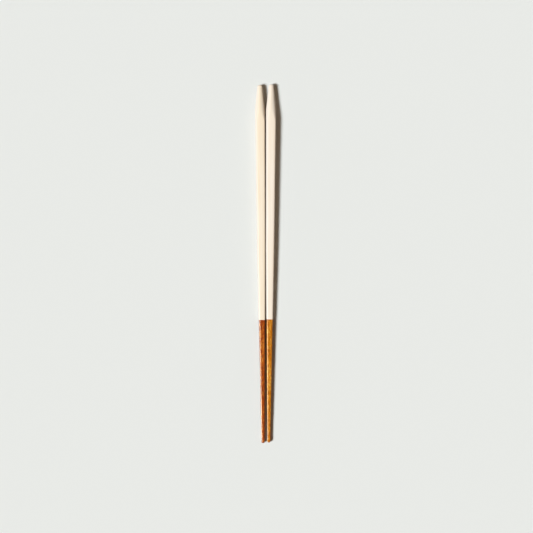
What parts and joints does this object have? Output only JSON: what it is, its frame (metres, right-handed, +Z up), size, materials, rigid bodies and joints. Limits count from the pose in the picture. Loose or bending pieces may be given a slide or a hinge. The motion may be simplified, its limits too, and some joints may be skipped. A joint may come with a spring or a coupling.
{
  "type": "pair of chopsticks",
  "caption": "Slim tapered wooden chopsticks with a rounded square section, a blunt cone at the head, an ivory lacquered handle and a clear lacquered brown tip, lying side by side.",
  "frame": {"origin": "centre of the pair's footprint, on the surface that the handles lie on", "axes": "+Y along the sticks from tips to heads, +Z up, +X from the left stick to the right stick"},
  "size_m": [0.014, 0.2404, 0.0067],
  "materials": {
    "left_lacquered_wood": "satin ivory lacquer on the handle, clear satin lacquer over red-brown hardwood below it",
    "right_lacquered_wood": "satin ivory lacquer on the handle, clear satin lacquer over golden brown hardwood below it"
  },
  "bodies": {
    "root": {"left_chopstick": "left_lacquered_wood", "right_chopstick": "right_lacquered_wood"}
  },
  "joints": []
}
